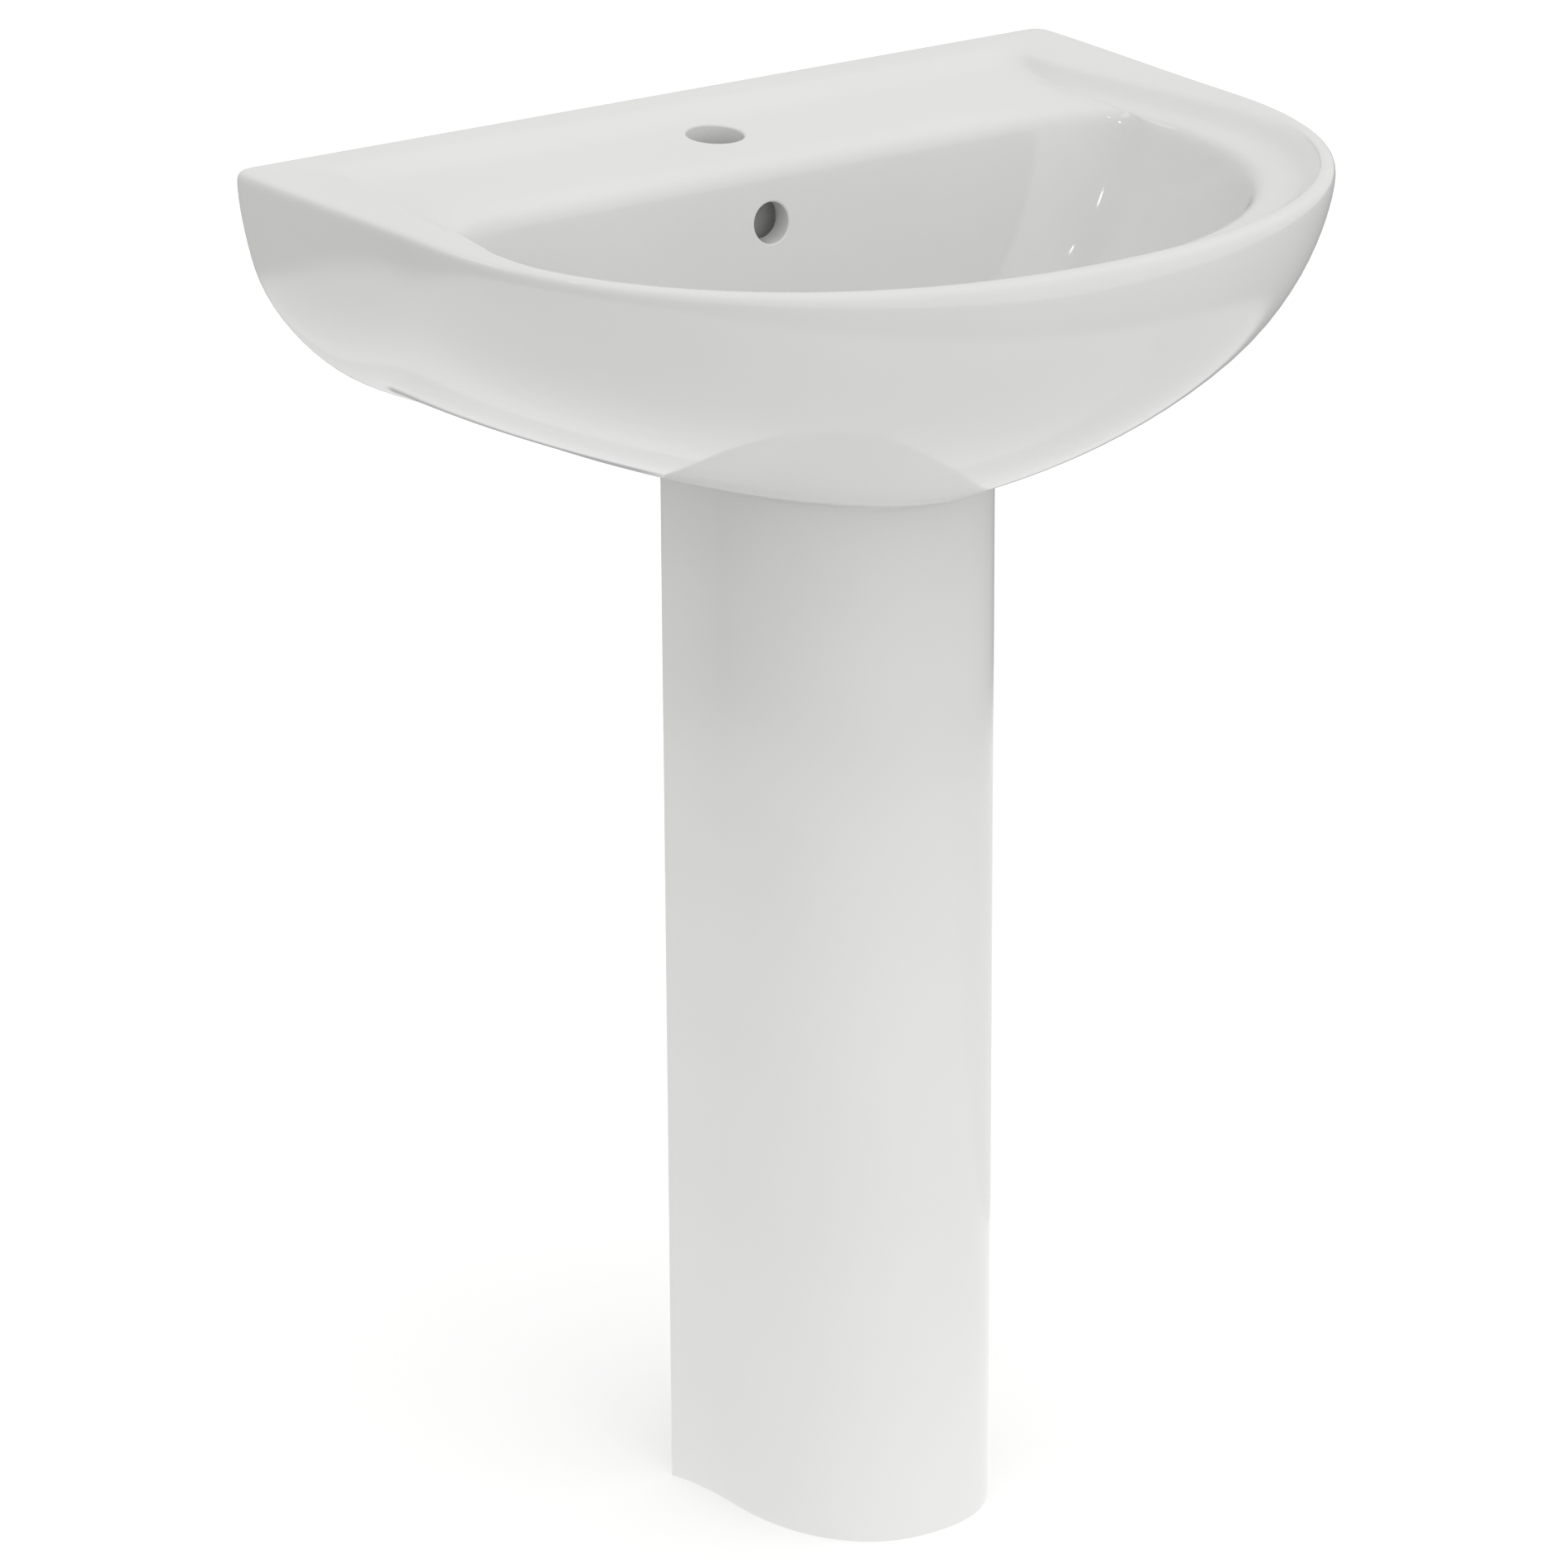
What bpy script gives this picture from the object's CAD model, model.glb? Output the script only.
import math

import bmesh
import bpy
import numpy as np
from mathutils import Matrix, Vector
from mathutils.bvhtree import BVHTree

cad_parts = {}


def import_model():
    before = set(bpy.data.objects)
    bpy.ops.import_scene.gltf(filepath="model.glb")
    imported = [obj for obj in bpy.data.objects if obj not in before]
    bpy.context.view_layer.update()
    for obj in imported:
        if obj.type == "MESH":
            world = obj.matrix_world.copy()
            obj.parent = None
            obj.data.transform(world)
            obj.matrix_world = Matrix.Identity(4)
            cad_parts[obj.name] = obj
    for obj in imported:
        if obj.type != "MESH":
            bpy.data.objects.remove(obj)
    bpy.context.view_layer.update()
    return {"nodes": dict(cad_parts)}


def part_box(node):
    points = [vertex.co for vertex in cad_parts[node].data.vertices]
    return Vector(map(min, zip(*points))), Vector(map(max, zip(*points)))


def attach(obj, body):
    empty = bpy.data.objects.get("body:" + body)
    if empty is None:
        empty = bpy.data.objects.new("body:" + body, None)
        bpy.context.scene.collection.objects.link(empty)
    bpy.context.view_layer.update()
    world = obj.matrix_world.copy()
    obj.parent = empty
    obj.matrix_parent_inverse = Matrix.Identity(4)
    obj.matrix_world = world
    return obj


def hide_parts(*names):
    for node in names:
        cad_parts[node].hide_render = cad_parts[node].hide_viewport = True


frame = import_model()

MM = 0.001
# The wall plane is the back of the basin.  Shapes below are drawn in millimetres with y = 0
# on the wall and negative to the front, and moved to the frame when their mesh is made.
WALL_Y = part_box("basin")[1].y

# Faces that meet more bluntly than this are shaded as one smooth surface.
SHARP_ANGLE = math.radians(38.0)

scene = bpy.context.scene


# ---- meshes -----------------------------------------------------------------------------
def in_frame(points):
    placed = np.asarray(points, float) * MM
    placed[..., 1] += WALL_Y
    return placed


def new_mesh(name, points, faces):
    mesh = bpy.data.meshes.new(name)
    mesh.from_pydata(in_frame(points).reshape(-1, 3).tolist(), [], faces)
    mesh.update()
    return mesh


def new_object(name, mesh):
    made = bpy.data.objects.new(name, mesh)
    scene.collection.objects.link(made)
    return made


def ring_faces(rows, columns, caps=(False, False), join=False):
    # Quads between closed rings; row r has its points from r * columns on.
    faces = []
    last = rows if join else rows - 1
    for row in range(last):
        below = row * columns
        above = (row + 1) % rows * columns
        for k in range(columns):
            after = (k + 1) % columns
            faces.append((below + k, below + after, above + after, above + k))
    if caps[0]:
        faces.append(tuple(reversed(range(columns))))
    if caps[1]:
        faces.append(tuple(range((rows - 1) * columns, rows * columns)))
    return faces


def outward(mesh):
    shape = bmesh.new()
    shape.from_mesh(mesh)
    bmesh.ops.recalc_face_normals(shape, faces=shape.faces)
    if shape.calc_volume(signed=True) < 0:
        bmesh.ops.reverse_faces(shape, faces=shape.faces)
    shape.to_mesh(mesh)
    shape.free()


def ring_object(name, rings, caps=(True, True), join=False):
    rings = np.array(rings)
    mesh = new_mesh(name, rings, ring_faces(rings.shape[0], rings.shape[1], caps, join))
    outward(mesh)
    return new_object(name, mesh)


def box_object(name, x_low, x_high, y_low, y_high, z_low, z_high):
    def ring(z):
        return [(x_low, y_low, z), (x_high, y_low, z), (x_high, y_high, z), (x_low, y_high, z)]
    return ring_object(name, [ring(z_low), ring(z_high)])


HOLE_COLUMNS = 48


def circle(radius, z, centre_y, columns, x=0.0):
    turn = 2.0 * math.pi * np.arange(columns) / columns
    return np.stack([x + radius * np.cos(turn), centre_y + radius * np.sin(turn),
                     np.full(columns, float(z))], 1)


def boolean(target, cutter, operation="DIFFERENCE"):
    modifier = target.modifiers.new("cut", "BOOLEAN")
    modifier.operation = operation
    modifier.solver = "EXACT"
    modifier.object = cutter
    bpy.context.view_layer.update()
    graph = bpy.context.evaluated_depsgraph_get()
    cut = bpy.data.meshes.new_from_object(target.evaluated_get(graph))
    target.modifiers.clear()
    old = target.data
    target.data = cut
    bpy.data.meshes.remove(old)
    used = cutter.data
    bpy.data.objects.remove(cutter)
    bpy.data.meshes.remove(used)


# ---- the basin's surface ----------------------------------------------------------------
# A ring is a closed D: straight along the wall, a rounded rear corner, a slightly slanted
# side and a superellipse round the front.
BACK_COLUMNS = 10
CORNER_COLUMNS = 6
SIDE_COLUMNS = 9
FRONT_COLUMNS = 20
RIM_Z = 850.0
# The basin lands on the pedestal at this height; the bowl's floor is flat round the waste.
LANDING_Z = 669.0
FLOOR_Z = 702.0
WASTE_Y = -225.0
FLAT_R = 38.0
SEAT_R = 34.0
SEAT_Z = 699.0
WASTE_HOLE_R = 23.0
CERAMIC = 11.0
BACK_WALL = 14.0

# The hollow under the bowl: its lowest level, and the level that closes its top.
UNDERSIDE_LOW = (679.0, 138.0, 314.0)
UNDERSIDE_BELOW = 810.0
UNDERSIDE_HIGH = (826.0, 298.4, 469.2)
# Boxes are x low, x high, y low, y high, z low, z high.  The first two stay solid in the
# hollow: the housing of the overflow channel, and the foot it runs down to.
HOUSING_BOX = (-29.0, 29.0, -128.5, -90.0, 660.0, 831.0)
FOOT_BOX = (-94.0, 94.0, -300.0, -128.0, 655.0, 694.0)
SERVICE_BOX = (-88.0, 88.0, -88.0, -BACK_WALL, 659.0, 694.5)
CHANNEL_BOX = (-20.0, 20.0, -112.0, -99.0, 679.0, 815.0)
CHANNEL_RUN_BOX = (-20.0, 20.0, WASTE_Y + 10.0, -99.5, 679.5, 690.0)
BOLT_X = 140.0
BOLT_Z = 775.0
BOLT_HOLE_R = 7.0
BOLT_HOLE_DEPTH = 20.0
TAP_HOLE_R = 17.5
TAP_HOLE_FLARE = 1.8
TAP_HOLE_Y = -66.0
OVERFLOW_R = 12.5
OVERFLOW_FLARE = 1.5
OVERFLOW_Z = 797.0
BELLY_CORNER = 8.0
BELLY_POWER = 2.12
# Between these shares of the way down, the belly's plan turns into an oval.
OVAL_FROM = 0.50
OVAL_TO = 0.90
OVAL_SIDE = 0.981
OVAL_START = 5.0
OVAL_POWER = 2.044

# Levels of the outside of the belly: height, half width at the wall, depth from the wall.
BELLY = [
    (669.0, 128.6, 304.4), (671.5, 139.8, 311.0), (675.5, 151.1, 318.3), (682.0, 164.3, 333.3),
    (695.0, 196.1, 359.4), (710.0, 225.2, 385.6), (730.0, 250.8, 414.4), (755.0, 272.6, 439.4),
    (780.0, 287.4, 455.8), (805.0, 294.2, 466.6), (826.0, 298.4, 469.2), (838.0, 299.7, 468.4),
    (845.0, 300.0, 467.0), (848.8, 298.6, 464.6),
]
# The top, from the crest of the rim in to the edge of the bowl: rear, width, corner, side,
# start, depth, power, (z back, z side, z front).
TOP = [
    (2.5, 294.5, 9.0, 288.5, 200.0, 460.5, 2.12, (850.0, 850.0, 850.0)),
    (7.0, 287.0, 12.0, 283.5, 204.0, 456.5, 2.12, (850.0, 850.0, 850.0)),
    (17.0, 270.0, 16.0, 278.0, 220.0, 454.0, 2.12, (849.9, 849.4, 849.3)),
    (26.0, 254.0, 20.0, 272.5, 238.0, 451.5, 2.12, (849.4, 848.6, 848.2)),
    (31.0, 250.5, 20.0, 269.0, 238.0, 449.0, 2.12, (847.6, 846.6, 846.2)),
    (37.0, 247.0, 20.0, 264.5, 236.0, 445.5, 2.13, (844.0, 842.6, 842.6)),
    (45.0, 243.5, 22.0, 260.0, 233.0, 441.0, 2.14, (841.4, 839.4, 839.4)),
    (58.0, 242.0, 30.0, 256.0, 228.0, 436.0, 2.15, (839.9, 838.0, 838.0)),
    (80.0, 242.0, 42.0, 252.5, 221.0, 430.0, 2.17, (838.3, 837.2, 837.0)),
    (102.0, 242.5, 52.0, 249.5, 213.0, 424.0, 2.18, (836.8, 836.4, 836.2)),
    (114.0, 242.5, 53.0, 246.5, 208.0, 418.5, 2.2, (835.2, 835.0, 834.8)),
]
BOWL_EDGE = (122.0, 241.0, 51.0, 243.5, 205.0, 413.0, 2.2, (829.5, 831.5, 831.5))
BOWL_STATIONS = [0.985, 0.965, 0.94, 0.905, 0.86, 0.80, 0.72, 0.62, 0.50, 0.37, 0.24, 0.12, 0.04, 0.0]


def smooth(s):
    return s * s * (3.0 - 2.0 * s)


def half_ring(rear, width, corner, side, start, depth, power, z):
    z_back, z_side, z_front = z
    points = []
    for k in range(BACK_COLUMNS):
        points.append(((width - corner) * k / BACK_COLUMNS, -rear, z_back))
    for k in range(CORNER_COLUMNS):
        share = k / CORNER_COLUMNS
        angle = math.pi / 2.0 * (1.0 - share)
        points.append((width - corner + corner * math.cos(angle), -rear - corner + corner * math.sin(angle),
                       z_back + (z_side - z_back) * smooth(share)))
    for k in range(SIDE_COLUMNS):
        share = k / SIDE_COLUMNS
        points.append((width + (side - width) * smooth(share),
                       -(rear + corner) - (start - rear - corner) * share, z_side))
    for k in range(FRONT_COLUMNS + 1):
        angle = math.pi / 2.0 * k / FRONT_COLUMNS
        across = side * abs(math.cos(angle)) ** (2.0 / power) if k < FRONT_COLUMNS else 0.0
        points.append((across, -start - (depth - start) * math.sin(angle) ** (2.0 / power),
                       z_side + (z_front - z_side) * math.sin(angle) ** 2))
    return points


def whole_ring(half):
    return half + [(-x, y, z) for x, y, z in reversed(half[1:-1])]


def belly_ring(z, width, depth, inset=0.0, rear=0.0):
    low = (RIM_Z - z) / (RIM_Z - LANDING_Z)
    oval = smooth(min(max((low - OVAL_FROM) / (OVAL_TO - OVAL_FROM), 0.0), 1.0))
    side = width * ((0.983 - 0.083 * low) * (1.0 - oval) + OVAL_SIDE * oval)
    oval_start = rear + BELLY_CORNER + OVAL_START
    start = depth * (0.425 - 0.19 * low) * (1.0 - oval) + oval_start * oval
    power = BELLY_POWER * (1.0 - oval) + OVAL_POWER * oval
    return half_ring(rear, width - inset, BELLY_CORNER, side - inset, start, depth - inset, power, (z, z, z))


def bowl_ring(share, thickness=0.0):
    half = []
    for x, y, z in half_ring(*BOWL_EDGE):
        dy = y - WASTE_Y
        reach = math.hypot(x, dy)
        steep = 4.6 + 1.6 * dy / reach
        fall = 0.045 * (reach - FLAT_R)
        radius = FLAT_R + (reach + thickness - FLAT_R) * share
        level = FLOOR_Z + fall * share + (z - FLOOR_Z - fall) * share ** steep
        half.append((radius * x / reach, WASTE_Y + radius * dy / reach, level - thickness))
    return half


def spline_weights(steps):
    t = (np.arange(steps) / steps)[:, None]
    return np.concatenate([(1 - t) ** 3, 3 * t ** 3 - 6 * t ** 2 + 4, -3 * t ** 3 + 3 * t ** 2 + 3 * t + 1,
                           t ** 3], 1) / 6.0


def spline_round(net, steps):
    # Uniform cubic spline round every ring.
    weights = spline_weights(steps)
    parts = sum(weights[None, None, :, k, None] * np.roll(net, 1 - k, axis=1)[:, :, None, :] for k in range(4))
    return parts.reshape(net.shape[0], -1, 3)


def spline_up(net, steps):
    # Cubic spline across the rings that starts on the first ring and ends on the last.
    def ends(a, b, c):
        return 6 * a - 6 * b + c, 1.5 * b - 0.5 * c
    first, second = ends(net[0], net[1], net[2])
    last, before = ends(net[-1], net[-2], net[-3])
    poles = np.concatenate([[first, second], net[2:-2], [before, last]])
    spans = len(poles) - 3
    weights = spline_weights(steps)
    rows = [sum(weights[step, k] * poles[span + k] for k in range(4))
            for span in range(spans) for step in range(steps)]
    end = (poles[-3] + 4 * poles[-2] + poles[-1]) / 6.0
    return np.array(rows + [end])


def spline_rings(halves, steps_up, steps_round):
    net = np.array([whole_ring(half) for half in halves])
    return spline_up(spline_round(net, steps_round), steps_up)


SKIN_STEPS = 3
INSIDE_STEPS = 2


def skin_rings():
    halves = [belly_ring(*level) for level in BELLY]
    halves += [half_ring(*row) for row in TOP]
    halves.append(half_ring(*BOWL_EDGE))
    halves += [bowl_ring(share) for share in BOWL_STATIONS]
    return spline_rings(halves, SKIN_STEPS, SKIN_STEPS)


def waste_rings(last):
    # From the flat round the waste, over the eased edge of the seat, down the waste hole to
    # the underside.  The columns keep their directions from the bowl.
    spokes = last[:, :2] - (0.0, WASTE_Y)
    spokes /= np.linalg.norm(spokes, axis=1)[:, None]
    profile = [(36.5, FLOOR_Z), (35.3, FLOOR_Z), (34.8, FLOOR_Z - 0.1), (34.25, FLOOR_Z - 0.5),
               (SEAT_R, FLOOR_Z - 1.2), (SEAT_R, SEAT_Z), (WASTE_HOLE_R, SEAT_Z),
               (WASTE_HOLE_R, LANDING_Z)]
    rings = []
    for radius, z in profile:
        level = np.full((len(spokes), 1), z)
        rings.append(np.concatenate([spokes * radius + (0.0, WASTE_Y), level], 1))
    return np.array(rings)


def flared_hole(skin, radius, flare, centre, along, inner, columns=96):
    # Cutter for a round hole through the skin whose mouth is eased over by a small radius.
    # centre lies on the hole's axis, along points out of its mouth, inner is how deep it goes.
    centre = Vector(centre)
    along = Vector(along)
    side = Vector((1.0, 0.0, 0.0))
    up = along.cross(side)
    rings = [[] for _ in range(10)]
    for k in range(columns):
        turn = 2.0 * math.pi * k / columns
        spoke = side * math.cos(turn) + up * math.sin(turn)
        start = (centre + spoke * (radius + flare) + along * 200.0)
        hit = skin.ray_cast(start, -along)[0]
        mouth = (hit - centre).dot(along)
        rings[0].append(centre + spoke * radius + along * inner)
        for step in range(8):
            angle = math.pi / 2.0 * step / 7.0
            reach = radius + flare * (1.0 - math.cos(angle))
            depth = mouth + 0.03 - flare * (1.0 - math.sin(angle))
            rings[1 + step].append(centre + spoke * reach + along * depth)
        rings[9].append(centre + spoke * (radius + flare) + along * (mouth + 30.0))
    return ring_object("cutter", [[tuple(p) for p in ring] for ring in rings])


def basin():
    skin = skin_rings()
    rings = np.concatenate([skin, waste_rings(skin[-1])])
    body = ring_object("basin_casting", rings, (False, False), True)

    # Underside of the bowl, kept out of the hollow behind it.
    between = [level for level in BELLY if UNDERSIDE_LOW[0] < level[0] < UNDERSIDE_BELOW]
    levels = [UNDERSIDE_LOW] + between + [UNDERSIDE_HIGH]
    halves = [belly_ring(*level, inset=CERAMIC, rear=BACK_WALL) for level in levels]
    hollow = ring_object("hollow", spline_rings(halves, INSIDE_STEPS, INSIDE_STEPS))
    top = [(x, y, RIM_Z + 5.0) for x, y, z in bowl_ring(1.0, CERAMIC)]
    middle = [(x, y, RIM_Z - 25.0) for x, y, z in top]
    halves = [top, middle] + [bowl_ring(share, CERAMIC) for share in [1.0] + BOWL_STATIONS]
    boolean(hollow, ring_object("bowl", spline_rings(halves, INSIDE_STEPS, INSIDE_STEPS)))
    boolean(hollow, box_object("housing", *HOUSING_BOX))
    boolean(hollow, box_object("foot", *FOOT_BOX))
    boolean(body, hollow)
    boolean(body, box_object("service", *SERVICE_BOX))

    channel = box_object("channel", *CHANNEL_BOX)
    boolean(channel, box_object("run", *CHANNEL_RUN_BOX), "UNION")
    boolean(body, channel)
    for side in (-BOLT_X, BOLT_X):
        round_hole = circle(BOLT_HOLE_R, 0.0, 0.0, HOLE_COLUMNS)
        hole = [np.stack([side + round_hole[:, 0], np.full(HOLE_COLUMNS, y), BOLT_Z + round_hole[:, 1]], 1)
                for y in (-BOLT_HOLE_DEPTH, 1.0)]
        boolean(body, ring_object("bolt_hole", hole))

    plain = BVHTree.FromPolygons([tuple(p) for p in skin.reshape(-1, 3)],
                                 ring_faces(skin.shape[0], skin.shape[1]))
    boolean(body, flared_hole(plain, TAP_HOLE_R, TAP_HOLE_FLARE, (0.0, TAP_HOLE_Y, 830.0),
                              (0.0, 0.0, 1.0), -14.0))
    boolean(body, flared_hole(plain, OVERFLOW_R, OVERFLOW_FLARE, (0.0, -120.0, OVERFLOW_Z),
                              (0.0, -1.0, 0.0), -15.0))
    return body, skin


def keep_skin_normals(body, skin):
    # Booleans leave long faces round the holes; there the smooth skin's own normals are kept.
    mesh = body.data
    mesh.shade_smooth()
    mesh.set_sharp_from_angle(angle=SHARP_ANGLE)
    rows, columns = skin.shape[:2]
    placed = in_frame(skin)
    along = np.gradient(placed, axis=0)
    padded = np.concatenate([placed[:, -1:], placed, placed[:, :1]], 1)
    across = (padded[:, 2:] - padded[:, :-2]) / 2.0
    normals = np.cross(across, along)
    normals /= np.linalg.norm(normals, axis=2)[..., None]
    flat_normals = normals.reshape(-1, 3)
    flat_points = placed.reshape(-1, 3)
    faces = ring_faces(rows, columns)
    tree = BVHTree.FromPolygons([tuple(p) for p in flat_points], faces)

    custom = np.zeros((len(mesh.loops), 3))
    near = 1e-5
    face_normals = np.array([p.normal for p in mesh.polygons])
    seen = {}
    for polygon in mesh.polygons:
        for loop in polygon.loop_indices:
            vertex = mesh.loops[loop].vertex_index
            if vertex not in seen:
                spot, _, face, distance = tree.find_nearest(mesh.vertices[vertex].co)
                if distance > near:
                    seen[vertex] = None
                else:
                    corners = faces[face]
                    weights = np.array([1.0 / ((Vector(flat_points[c]) - spot).length + 1e-7) for c in corners])
                    blended = (flat_normals[list(corners)] * weights[:, None]).sum(0)
                    seen[vertex] = blended / np.linalg.norm(blended)
            found = seen[vertex]
            if found is not None and abs(found @ face_normals[polygon.index]) > 0.9:
                custom[loop] = found * np.sign(found @ face_normals[polygon.index])
    mesh.normals_split_custom_set(custom.tolist())


# ---- the pedestal -----------------------------------------------------------------------
# Height, half width at the rear, half width at the front curve, then the distances from the
# wall of the rear edge, of the start of the front curve, and of the front.
PEDESTAL_FOOT = np.array((0.0, 89.7, 82.1, 140.0, 191.0, 302.0))
PEDESTAL_HEAD = np.array((LANDING_Z, 92.3, 82.8, 138.0, 189.0, 294.5))
PEDESTAL_POWER = 2.3
PEDESTAL_EDGE_R = 2.0
# How far each end of the column is drawn in, by the distance from that end.
PEDESTAL_EASE = [(0.0, 0.9), (0.12, 0.5), (0.4, 0.2), (0.9, 0.0), (6.0, 0.0)]
# The lugs for the floor screws, at the foot inside the column.
LUG_X = 62.0
LUG_OUTSIDE = 16.0
LUG_INSIDE = 9.5
LUG_Y = -160.0
LUG_HALF_Y = 14.0
LUG_TOP = 16.0
LUG_HOLE_R = 4.0
SIDE_STEPS = 16
CURVE_STEPS = 44


def pedestal_line(level, inset):
    # One side of the wall in plan, from the right rear edge round the front to the left.
    z, rear_half, front_half, rear, start, front = level
    right = []
    for k in range(SIDE_STEPS):
        share = k / SIDE_STEPS
        x = front_half + (rear_half - front_half) * (1.0 - share) ** 2 - inset
        right.append((x, -rear - (start - rear) * share))
    for k in range(CURVE_STEPS):
        angle = math.pi / 2.0 * k / CURVE_STEPS
        right.append(((front_half - inset) * math.cos(angle) ** (2.0 / PEDESTAL_POWER),
                      -start - (front - inset - start) * math.sin(angle) ** (2.0 / PEDESTAL_POWER)))
    return right + [(0.0, -front + inset)] + [(-x, y) for x, y in reversed(right)]


def pedestal_section(level, ease):
    # The wall in plan is a U; its two rear edges are rounded, and ease draws it in a little.
    outer = np.array(pedestal_line(level, ease))
    inner = np.array(pedestal_line(level, CERAMIC - ease))[::-1]
    rear = -level[3] - ease
    corners = []
    for outside, inside, side in ((outer[-1], inner[0], -1.0), (outer[0], inner[-1], 1.0)):
        radius = PEDESTAL_EDGE_R
        arc = []
        for middle, first, last in (((outside[0] - side * radius, rear - radius), 0.0, 90.0),
                                    ((inside[0] + side * radius, rear - radius), 90.0, 180.0)):
            for step in range(6):
                turn = math.radians(first + (last - first) * step / 5.0)
                arc.append((middle[0] + side * radius * math.cos(turn), middle[1] + radius * math.sin(turn)))
        corners.append(arc)
    left, right = corners
    keep_outer, keep_inner = (line[1:-1][line[1:-1, 1] < rear - PEDESTAL_EDGE_R]
                              for line in (outer, inner))
    return np.array(list(keep_outer) + left + list(keep_inner) + right[::-1])


def pedestal():
    heights = PEDESTAL_EASE + [(z, 0.0) for z in np.linspace(20.0, LANDING_Z - 20.0, 30)]
    heights += [(LANDING_Z - z, ease) for z, ease in reversed(PEDESTAL_EASE)]
    rings = []
    for z, ease in heights:
        level = PEDESTAL_FOOT + (PEDESTAL_HEAD - PEDESTAL_FOOT) * (z / LANDING_Z)
        section = pedestal_section(level, ease)
        rings.append(np.concatenate([section, np.full((len(section), 1), z)], 1))
    body = ring_object("pedestal_casting", rings)
    for side in (-LUG_X, LUG_X):
        low, high = (LUG_OUTSIDE, LUG_INSIDE) if side > 0 else (LUG_INSIDE, LUG_OUTSIDE)
        lug = box_object("lug", side - low, side + high, LUG_Y - LUG_HALF_Y, LUG_Y + LUG_HALF_Y, 0.01, LUG_TOP)
        boolean(lug, ring_object("hole", [circle(LUG_HOLE_R, z, LUG_Y, HOLE_COLUMNS, side)
                                          for z in (-1.0, LUG_TOP + 1.0)]))
        boolean(body, lug, "UNION")
    body.data.shade_smooth()
    body.data.set_sharp_from_angle(angle=SHARP_ANGLE)
    return body


# ---- materials --------------------------------------------------------------------------
def new_material(name):
    material = bpy.data.materials.new(name)
    material.use_nodes = True
    nodes = material.node_tree.nodes
    return material, nodes, material.node_tree.links, nodes["Principled BSDF"]


def noise(nodes, links, scale, detail=2.0, source=None):
    made = nodes.new("ShaderNodeTexNoise")
    made.inputs["Scale"].default_value = scale
    made.inputs["Detail"].default_value = detail
    if source is None:
        source = nodes.new("ShaderNodeTexCoord").outputs["Object"]
    links.new(source, made.inputs["Vector"])
    return made.outputs["Fac"]


def ramp(nodes, links, value, stops):
    made = nodes.new("ShaderNodeValToRGB")
    made.color_ramp.elements[0].position = stops[0][0]
    made.color_ramp.elements[0].color = (*stops[0][1], 1.0)
    made.color_ramp.elements[1].position = stops[-1][0]
    made.color_ramp.elements[1].color = (*stops[-1][1], 1.0)
    for place, colour in stops[1:-1]:
        made.color_ramp.elements.new(place).color = (*colour, 1.0)
    links.new(value, made.inputs["Fac"])
    return made.outputs["Color"]


def bump(nodes, links, height, strength, distance, before=None):
    made = nodes.new("ShaderNodeBump")
    made.inputs["Strength"].default_value = strength
    made.inputs["Distance"].default_value = distance
    links.new(height, made.inputs["Height"])
    if before is not None:
        links.new(before, made.inputs["Normal"])
    return made.outputs["Normal"]


def grey(value):
    return (value, value, value)


def axis_of(nodes, links, source, axis):
    split = nodes.new("ShaderNodeSeparateXYZ")
    links.new(source, split.inputs["Vector"])
    return split.outputs[axis]


def blend(nodes, links, share, first, second):
    # Two colours mixed by share, which is 0 for the first and 1 for the second.
    mix = nodes.new("ShaderNodeMix")
    mix.data_type = "RGBA"
    links.new(share, mix.inputs["Factor"])
    links.new(first, mix.inputs["A"])
    links.new(second, mix.inputs["B"])
    return mix.outputs["Result"]


def beyond(nodes, links, value, low, high):
    # 0 below low, 1 above high, and smooth between them.
    step = nodes.new("ShaderNodeMapRange")
    step.interpolation_type = "SMOOTHSTEP"
    step.inputs["From Min"].default_value = low
    step.inputs["From Max"].default_value = high
    links.new(value, step.inputs["Value"])
    return step.outputs["Result"]


GLAZE_THIN = (0.672, 0.671, 0.662)
GLAZE_THICK = (0.694, 0.693, 0.686)
CLAY_DARK = (0.50, 0.45, 0.38)
CLAY_LIGHT = (0.62, 0.58, 0.51)


def ceramic(name, bare_axis, bare_from, bare_to):
    # Fired glaze: faint thick and thin patches, a slow waviness, and tiny pores.  Past
    # bare_from on one axis the glaze ends and the ground, unglazed body shows.
    material, nodes, links, shader = new_material(name)
    place = nodes.new("ShaderNodeTexCoord").outputs["Object"]
    cloud = noise(nodes, links, 6.0, 3.0, place)
    tone = ramp(nodes, links, cloud, [(0.3, GLAZE_THIN), (0.7, GLAZE_THICK)])
    grains = noise(nodes, links, 900.0, 3.0, place)
    clay = ramp(nodes, links, grains, [(0.3, CLAY_DARK), (0.7, CLAY_LIGHT)])
    bare = beyond(nodes, links, axis_of(nodes, links, place, bare_axis), bare_from, bare_to)
    links.new(blend(nodes, links, bare, tone, clay), shader.inputs["Base Color"])
    shine = ramp(nodes, links, noise(nodes, links, 18.0, 4.0, place), [(0.35, grey(0.05)), (0.7, grey(0.10))])
    rough = ramp(nodes, links, grains, [(0.3, grey(0.75)), (0.7, grey(0.9))])
    links.new(blend(nodes, links, bare, shine, rough), shader.inputs["Roughness"])
    shader.inputs["IOR"].default_value = 1.5
    waves = bump(nodes, links, noise(nodes, links, 14.0, 1.0, place), 0.12, 0.0006)
    links.new(bump(nodes, links, noise(nodes, links, 160.0, 2.0, place), 0.05, 0.00008, waves),
              shader.inputs["Normal"])
    return material


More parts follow.
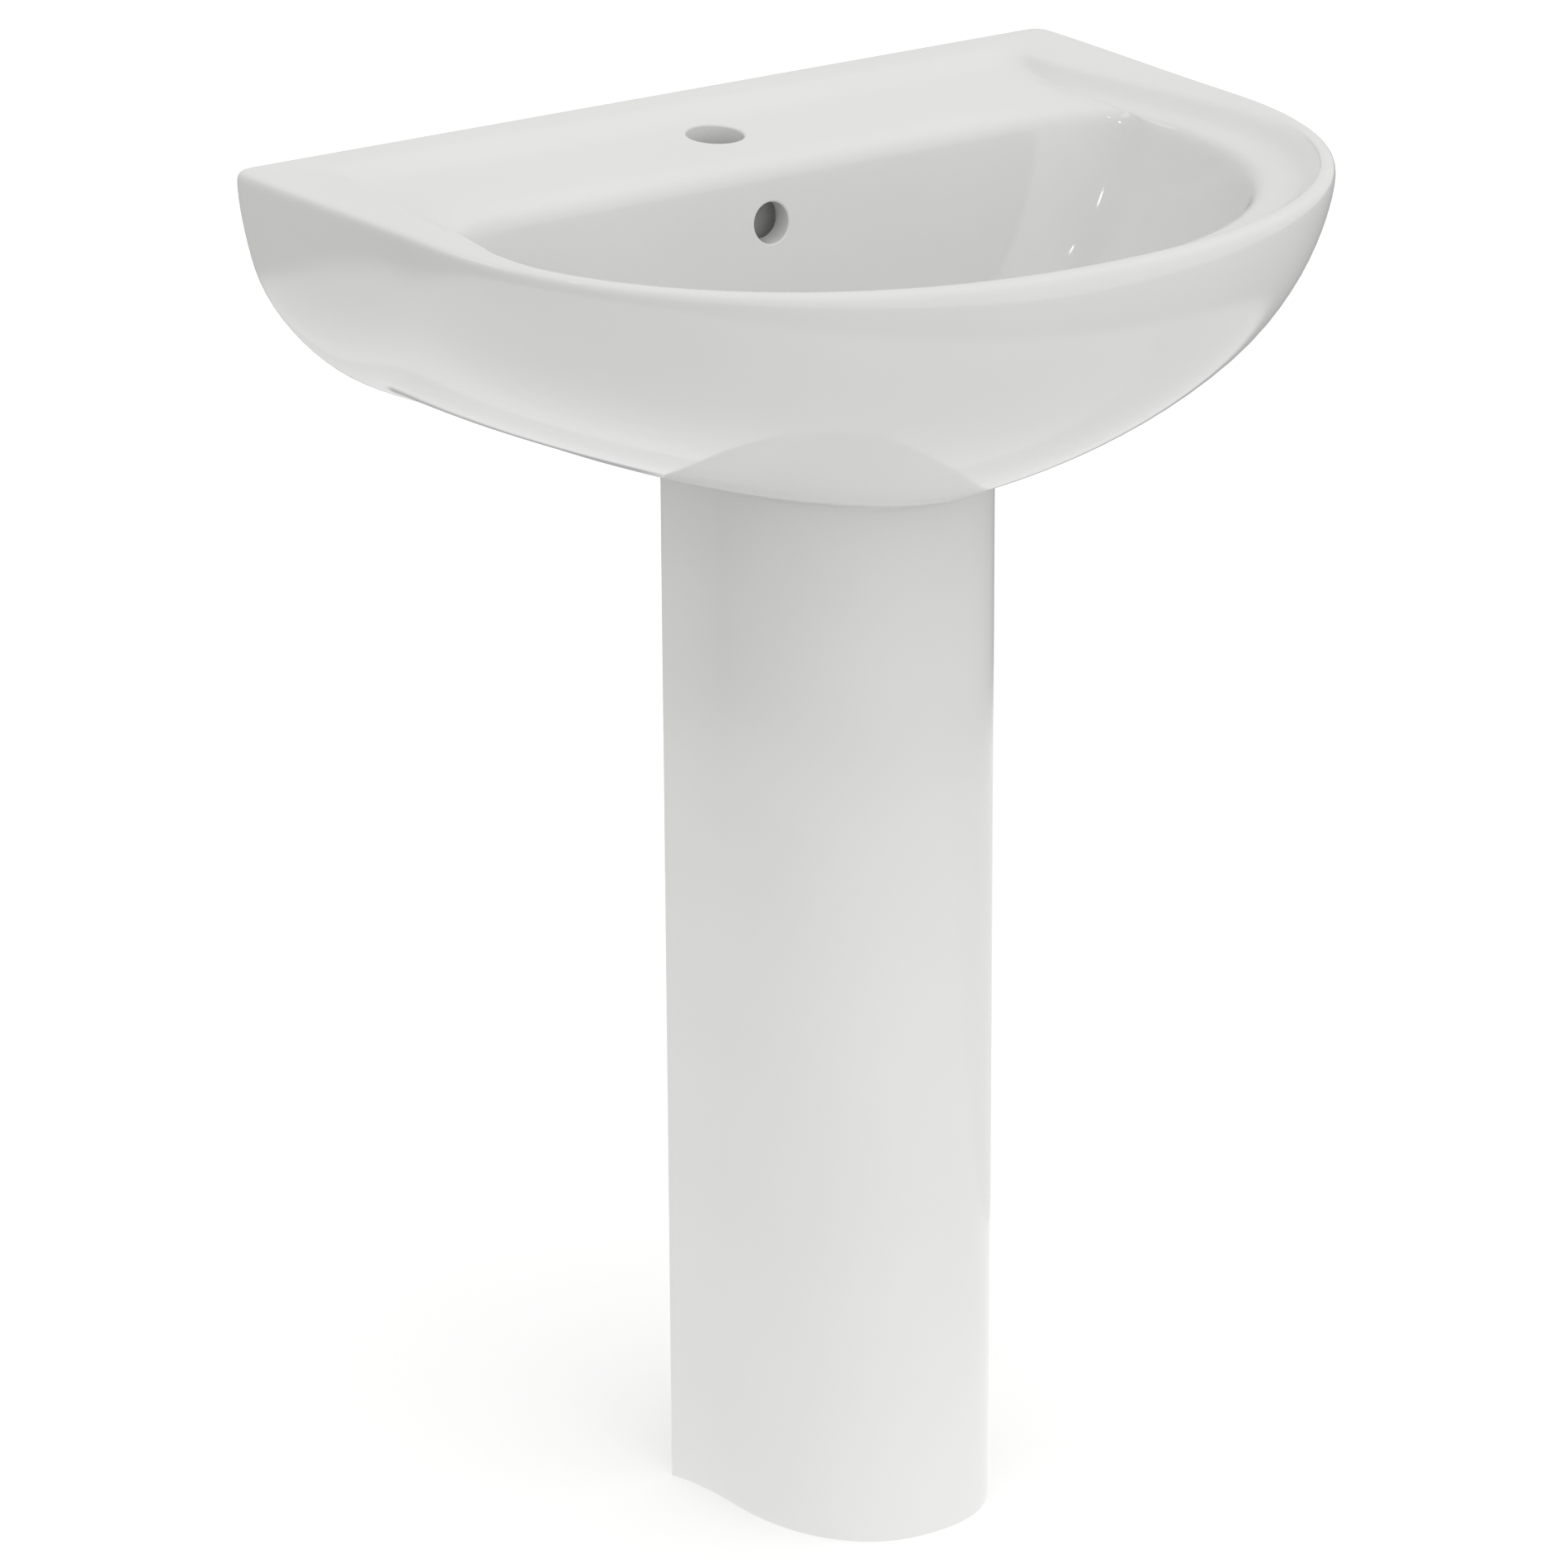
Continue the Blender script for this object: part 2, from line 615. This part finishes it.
def thread_bump(nodes, links, pitch, strength, axis="Z", before=None):
    # Ridges one pitch apart along an axis.  A wave of scale 1 has a ridge every 2 pi / 20 m.
    made = nodes.new("ShaderNodeTexWave")
    made.bands_direction = axis
    made.inputs["Scale"].default_value = 2.0 * math.pi / 20.0 / pitch
    made.inputs["Distortion"].default_value = 0.0
    links.new(nodes.new("ShaderNodeTexCoord").outputs["Object"], made.inputs["Vector"])
    return bump(nodes, links, made.outputs["Fac"], strength, pitch / 2.0, before)


def metal(name, dark, light, smooth_to, rough_to, scratch_scale, ridge_pitch=None, ridge_axis="Z"):
    # Cloudy tone, roughness in fine streaks, and a faint grain; threads get ridges.
    material, nodes, links, shader = new_material(name)
    place = nodes.new("ShaderNodeTexCoord").outputs["Object"]
    tone = ramp(nodes, links, noise(nodes, links, 45.0, 4.0, place), [(0.3, dark), (0.7, light)])
    links.new(tone, shader.inputs["Base Color"])
    shader.inputs["Metallic"].default_value = 1.0
    streaks = noise(nodes, links, scratch_scale, 6.0, place)
    links.new(ramp(nodes, links, streaks, [(0.3, grey(smooth_to)), (0.7, grey(rough_to))]),
              shader.inputs["Roughness"])
    grain = bump(nodes, links, streaks, 0.15, 0.00005)
    if ridge_pitch:
        grain = thread_bump(nodes, links, ridge_pitch, 0.6, ridge_axis, grain)
    links.new(grain, shader.inputs["Normal"])
    return material


def moulded(name, dark, light, smooth_to, rough_to, grain_scale, grain_depth):
    # Moulded plastic or rubber: slightly uneven tone and shine over a fine grain.
    material, nodes, links, shader = new_material(name)
    place = nodes.new("ShaderNodeTexCoord").outputs["Object"]
    tone = ramp(nodes, links, noise(nodes, links, 35.0, 3.0, place), [(0.3, dark), (0.7, light)])
    links.new(tone, shader.inputs["Base Color"])
    patches = noise(nodes, links, 120.0, 5.0, place)
    links.new(ramp(nodes, links, patches, [(0.3, grey(smooth_to)), (0.7, grey(rough_to))]),
              shader.inputs["Roughness"])
    links.new(bump(nodes, links, noise(nodes, links, grain_scale, 2.0, place), 0.3, grain_depth),
              shader.inputs["Normal"])
    return material


SLOT_MATERIALS = {
    "zinc_steel": metal("zinc", (0.52, 0.53, 0.55), (0.66, 0.66, 0.63), 0.30, 0.48, 260.0, 0.00125, "Y"),
    "chrome": metal("chrome_plate", grey(0.60), (0.66, 0.67, 0.69), 0.05, 0.14, 180.0),
    "brass": metal("yellow_brass", (0.56, 0.39, 0.15), (0.70, 0.50, 0.21), 0.22, 0.38, 300.0),
    "spring_steel": metal("spring_wire", grey(0.42), grey(0.55), 0.25, 0.38, 500.0),
    "nylon": moulded("nylon_washer", (0.70, 0.69, 0.65), (0.77, 0.76, 0.72), 0.38, 0.52, 600.0, 0.00006),
    "rubber": moulded("black_rubber", grey(0.018), grey(0.034), 0.55, 0.75, 900.0, 0.00008),
    "white_plastic": moulded("white_pp", (0.74, 0.745, 0.74), (0.80, 0.80, 0.795), 0.28, 0.42, 500.0, 0.00005),
}


def dress_nodes():
    # Finished materials for the frame's own pieces, by the name of their slot.
    for node in frame["nodes"].values():
        for place in node.material_slots:
            if place.material and place.material.name in SLOT_MATERIALS:
                place.material = SLOT_MATERIALS[place.material.name]


dress_nodes()
# The basin is bare where its back is ground flat.  The pedestal is glazed all over: its bare
# part would start above its top.
BASIN_GLAZE = ceramic("basin_glazing", "Y", WALL_Y - 0.0009, WALL_Y - 0.0006)
PEDESTAL_GLAZE = ceramic("pedestal_glazing", "Z", 1.0, 1.1)

basin_piece, basin_skin = basin()
keep_skin_normals(basin_piece, basin_skin)
basin_piece.data.materials.append(BASIN_GLAZE)
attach(basin_piece, "root")
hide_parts("basin")

pedestal_piece = pedestal()
pedestal_piece.data.materials.append(PEDESTAL_GLAZE)
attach(pedestal_piece, "root")
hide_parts("pedestal")


# ---- floor, light and camera ------------------------------------------------------------
# To the eye the floor is white.  What the glaze reflects is a floor with one brightness near
# the sink and another past a line behind it, which darkens where the lit part ends.
FLOOR_HALF = 12.0
FLOOR_GLOW = 0.14
FLOOR_NEAR = 1.12
FLOOR_FAR = 0.92
FLOOR_DARK = 0.35
FLOOR_LIT_R = 1.35
FLOOR_LIT_EDGE = 0.3
# The line runs over the floor from behind the sink to its right; its normal points away.
FLOOR_LINE_NORMAL = (0.892, 0.453, 0.0)
FLOOR_LINE = 0.442
FLOOR_LINE_EDGE = 0.02


def floor():
    mesh = bpy.data.meshes.new("floor")
    corners = [(x * FLOOR_HALF, y * FLOOR_HALF, 0) for x, y in ((-1, -1), (1, -1), (1, 1), (-1, 1))]
    mesh.from_pydata(corners, [], [(0, 1, 2, 3)])
    plane = new_object("floor", mesh)
    material, nodes, links, shader = new_material("floor_paint")
    tone = ramp(nodes, links, noise(nodes, links, 1.5), [(0.3, grey(0.89)), (0.7, grey(0.91))])
    links.new(tone, shader.inputs["Base Color"])
    shader.inputs["Roughness"].default_value = 0.9
    shader.inputs["Specular IOR Level"].default_value = 0.1
    shader.inputs["Emission Color"].default_value = (1.0, 1.0, 1.0, 1.0)
    shader.inputs["Emission Strength"].default_value = FLOOR_GLOW
    place = nodes.new("ShaderNodeTexCoord").outputs["Object"]
    across = nodes.new("ShaderNodeVectorMath")
    across.operation = "DOT_PRODUCT"
    across.inputs[1].default_value = FLOOR_LINE_NORMAL
    links.new(place, across.inputs[0])
    far = beyond(nodes, links, across.outputs["Value"], FLOOR_LINE - FLOOR_LINE_EDGE,
                 FLOOR_LINE + FLOOR_LINE_EDGE)
    lit = ramp(nodes, links, far, [(0.0, grey(FLOOR_NEAR)), (1.0, grey(FLOOR_FAR))])
    reach = nodes.new("ShaderNodeVectorMath")
    reach.operation = "LENGTH"
    links.new(place, reach.inputs[0])
    past = beyond(nodes, links, reach.outputs["Value"], FLOOR_LIT_R, FLOOR_LIT_R + FLOOR_LIT_EDGE)
    unlit = ramp(nodes, links, past, [(0.0, grey(FLOOR_DARK)), (1.0, grey(FLOOR_DARK))])
    glow = nodes.new("ShaderNodeEmission")
    links.new(blend(nodes, links, past, lit, unlit), glow.inputs["Color"])
    mixed = nodes.new("ShaderNodeMixShader")
    links.new(nodes.new("ShaderNodeLightPath").outputs["Is Camera Ray"], mixed.inputs["Fac"])
    links.new(glow.outputs["Emission"], mixed.inputs[1])
    links.new(shader.outputs["BSDF"], mixed.inputs[2])
    links.new(mixed.outputs["Shader"], nodes["Material Output"].inputs["Surface"])
    mesh.materials.append(material)


# Brightness of the room by direction: each term is a product of the direction's x, y and z.
SKY_LEVEL = 1.08
SKY_TERMS = [("", 0.964), ("x", 0.081), ("y", -0.340), ("z", 0.085), ("xx", -0.187), ("xy", 0.104),
             ("yz", 0.025), ("xz", -0.051), ("zz", -0.019)]


def world():
    made = bpy.data.worlds.new("studio")
    scene.world = made
    made.use_nodes = True
    nodes = made.node_tree.nodes
    links = made.node_tree.links
    split = nodes.new("ShaderNodeSeparateXYZ")
    links.new(nodes.new("ShaderNodeTexCoord").outputs["Generated"], split.inputs["Vector"])
    total = None
    for axes, factor in SKY_TERMS:
        term = nodes.new("ShaderNodeMath")
        term.operation = "MULTIPLY"
        term.inputs[0].default_value = factor * SKY_LEVEL
        term.inputs[1].default_value = 1.0
        if axes:
            links.new(split.outputs[axes[0].upper()], term.inputs[1])
        value = term.outputs["Value"]
        if len(axes) == 2:
            twice = nodes.new("ShaderNodeMath")
            twice.operation = "MULTIPLY"
            links.new(value, twice.inputs[0])
            links.new(split.outputs[axes[1].upper()], twice.inputs[1])
            value = twice.outputs["Value"]
        if total is not None:
            added = nodes.new("ShaderNodeMath")
            added.operation = "ADD"
            links.new(total, added.inputs[0])
            links.new(value, added.inputs[1])
            value = added.outputs["Value"]
        total = value
    background = nodes["Background"]
    background.inputs["Color"].default_value = (1.0, 1.0, 0.995, 1.0)
    links.new(total, background.inputs["Strength"])


def area_light(name, place, target, size, power):
    data = bpy.data.lights.new(name, "AREA")
    data.shape = "RECTANGLE"
    data.size = size[0]
    data.size_y = size[1]
    data.energy = power
    lamp = bpy.data.objects.new(name, data)
    lamp.location = place
    lamp.rotation_euler = (Vector(target) - Vector(place)).to_track_quat("-Z", "Y").to_euler()
    scene.collection.objects.link(lamp)


# The camera looks down on the sink from its front left.
CAMERA_AZIMUTH = math.radians(35.685)
CAMERA_PITCH = math.radians(20.14)
CAMERA_DISTANCE = 4.149
CAMERA_TARGET = Vector((-0.0593, WALL_Y - 0.220, 0.4804))


def camera():
    data = bpy.data.cameras.new("camera")
    data.sensor_width = 36.0
    data.lens = 159.0
    made = bpy.data.objects.new("camera", data)
    level = math.cos(CAMERA_PITCH)
    forward = Vector((math.sin(CAMERA_AZIMUTH) * level, math.cos(CAMERA_AZIMUTH) * level,
                      -math.sin(CAMERA_PITCH)))
    made.location = CAMERA_TARGET - forward * CAMERA_DISTANCE
    made.rotation_euler = forward.to_track_quat("-Z", "Y").to_euler()
    scene.collection.objects.link(made)
    scene.camera = made


floor()
world()
camera()
area_light("high_left", (-1.30, 1.95, 2.9), (0.0, 0.0, 0.8), (1.3, 0.5), 2.6)
area_light("window_upper", (-1.235, 0.482, 2.365), (0.2, 0.044, 0.756), (0.07, 0.11), 0.45)
area_light("window_lower", (-1.553, 0.832, 1.819), (0.221, 0.042, 0.787), (0.07, 0.11), 0.45)
scene.view_settings.view_transform = "Standard"
